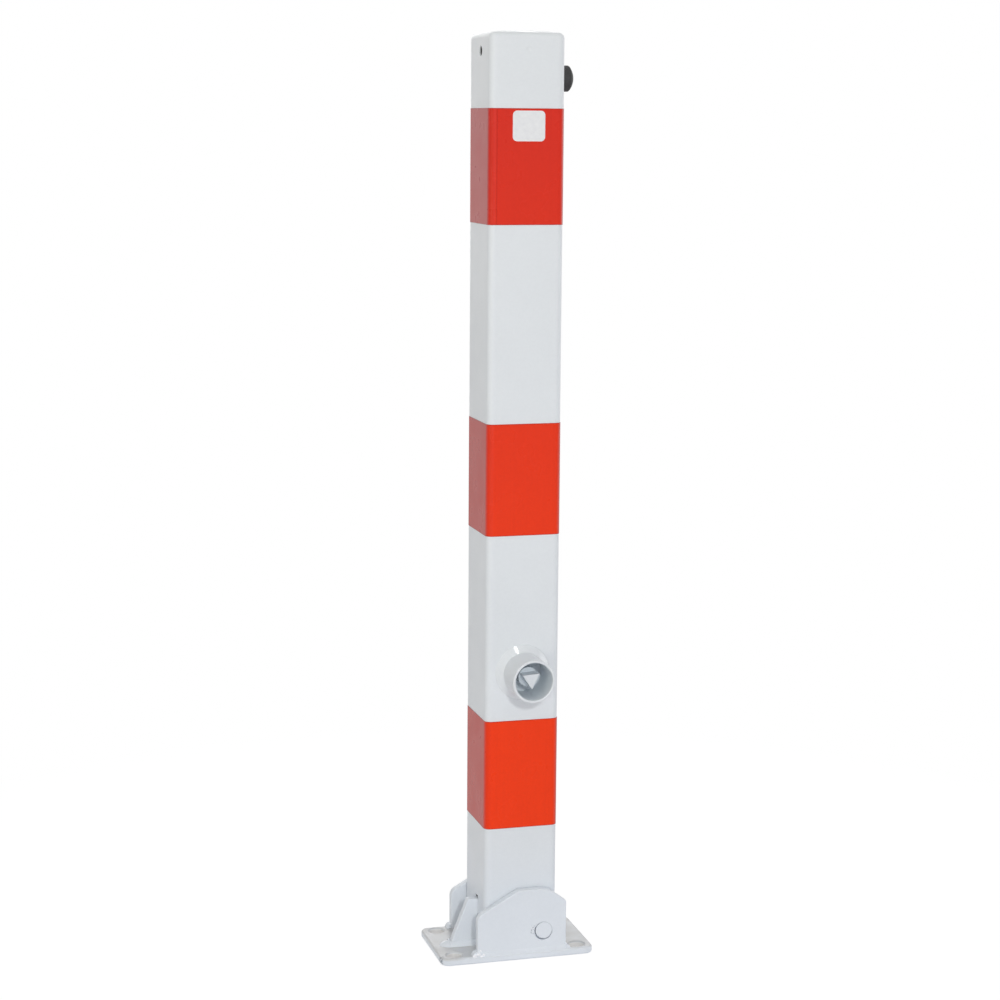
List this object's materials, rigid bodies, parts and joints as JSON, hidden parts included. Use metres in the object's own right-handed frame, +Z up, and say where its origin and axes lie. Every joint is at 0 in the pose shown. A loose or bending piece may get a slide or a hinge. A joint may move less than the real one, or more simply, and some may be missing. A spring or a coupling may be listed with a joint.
{
  "type": "fold-down bollard",
  "caption": "Square steel post with red bands, hinged between two ears on a base plate, with a rubber buffer and a key-operated lock in a round collar.",
  "frame": {"origin": "centre of the base plate's underside, on the ground", "axes": "+X is the way the post folds down, +Y away from the lock collar, +Z up along the post"},
  "size_m": [0.148, 0.119, 0.858],
  "materials": {
    "white_coat": "white powder coat, semi-gloss",
    "red_film": "red reflective film",
    "rubber": "matt black rubber",
    "zinc_steel": "zinc plated steel"
  },
  "bodies": {
    "base": {"base_plate": "white_coat", "front_ear": "white_coat", "rear_ear": "white_coat", "keeper_plate": "white_coat", "ear_end_welds": "white_coat", "keeper_weld": "white_coat", "hinge_pin": "white_coat"},
    "post": {"post_tube": "white_coat", "top_cap": "white_coat", "top_band": "red_film", "middle_band": "red_film", "bottom_band": "red_film", "rubber_buffer": "rubber", "buffer_stud": "zinc_steel", "rivet_nut": "zinc_steel", "lock_collar": "white_coat", "collar_weld": "white_coat", "spindle_bush": "white_coat", "pivot_sleeve": "zinc_steel", "upper_guide": "zinc_steel", "lower_guide": "zinc_steel"},
    "spindle": {"lock_spindle": "white_coat", "spindle_clip": "white_coat", "friction_washer": "zinc_steel", "crank_arm": "zinc_steel", "crank_pin": "zinc_steel"},
    "bar": {"lock_bar": "zinc_steel"}
  },
  "joints": [
    {"name": "post_fold", "type": "hinge", "parent": "base", "child": "post", "pos_m": [0.0245, 0, 0.027], "axis": [0, 1, 0], "range_deg": [0, 89.6]},
    {"name": "spindle_turn", "type": "hinge", "parent": "post", "child": "spindle", "pos_m": [0.004, -0.05, 0.275], "axis": [0, -1, 0], "range_deg": [0, 90]},
    {"name": "bar_slide", "type": "slide", "parent": "post", "child": "bar", "axis": [0, 0, -1], "range_m": [0, 0.01697]}
  ],
  "couplings": [
    {"joint": "spindle_turn", "follows": "bar_slide", "rad_per_m": 92.56}
  ]
}
